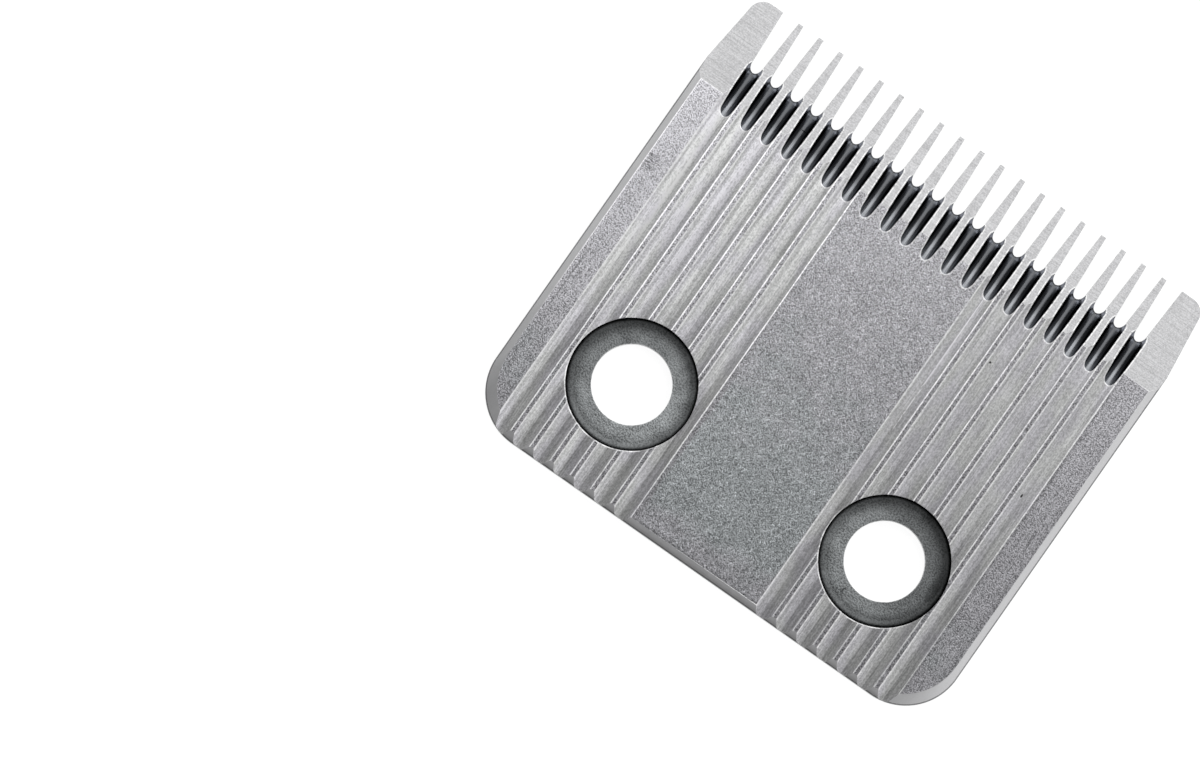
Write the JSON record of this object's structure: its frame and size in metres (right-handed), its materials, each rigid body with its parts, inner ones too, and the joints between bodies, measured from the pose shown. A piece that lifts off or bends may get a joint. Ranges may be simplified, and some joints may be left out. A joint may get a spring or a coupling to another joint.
{
  "type": "hair clipper comb blade",
  "caption": "Flat steel comb blade for a hair clipper: tapered teeth behind a ground bevel, lengthways grooves beside a plain panel, and counterbored screw holes.",
  "frame": {"origin": "midway between the two screw holes, on the flat underside", "axes": "+X along the row of teeth, +Y towards the tooth tips, +Z out of the grooved face"},
  "size_m": [0.0454, 0.0414, 0.0025],
  "materials": {
    "ground_steel": "ground teeth and bevel, tumbled satin flats, fine lengthways lines in the grooves"
  },
  "bodies": {
    "root": {"comb_blade": "ground_steel"}
  },
  "joints": []
}
